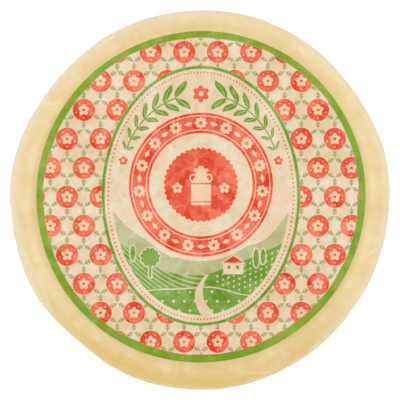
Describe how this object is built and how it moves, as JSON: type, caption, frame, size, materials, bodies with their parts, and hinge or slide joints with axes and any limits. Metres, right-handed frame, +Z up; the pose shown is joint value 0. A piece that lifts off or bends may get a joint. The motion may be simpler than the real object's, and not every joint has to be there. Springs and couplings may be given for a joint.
{
  "type": "caciotta cheese wheel",
  "caption": "Low round wheel of table cheese with a smooth pale rind, rounded sides, a flat base and a round printed paper label on its upper face.",
  "frame": {"origin": "on the resting plane, under the middle of the round base", "axes": "+Z up through the middle of the wheel, +Y towards the top of the label's picture, +X to its right"},
  "size_m": [0.1905, 0.191, 0.0666],
  "materials": {
    "rind": null,
    "label_paper": null
  },
  "bodies": {
    "root": {"cheese_wheel": "rind", "paper_label": "label_paper"}
  },
  "joints": []
}
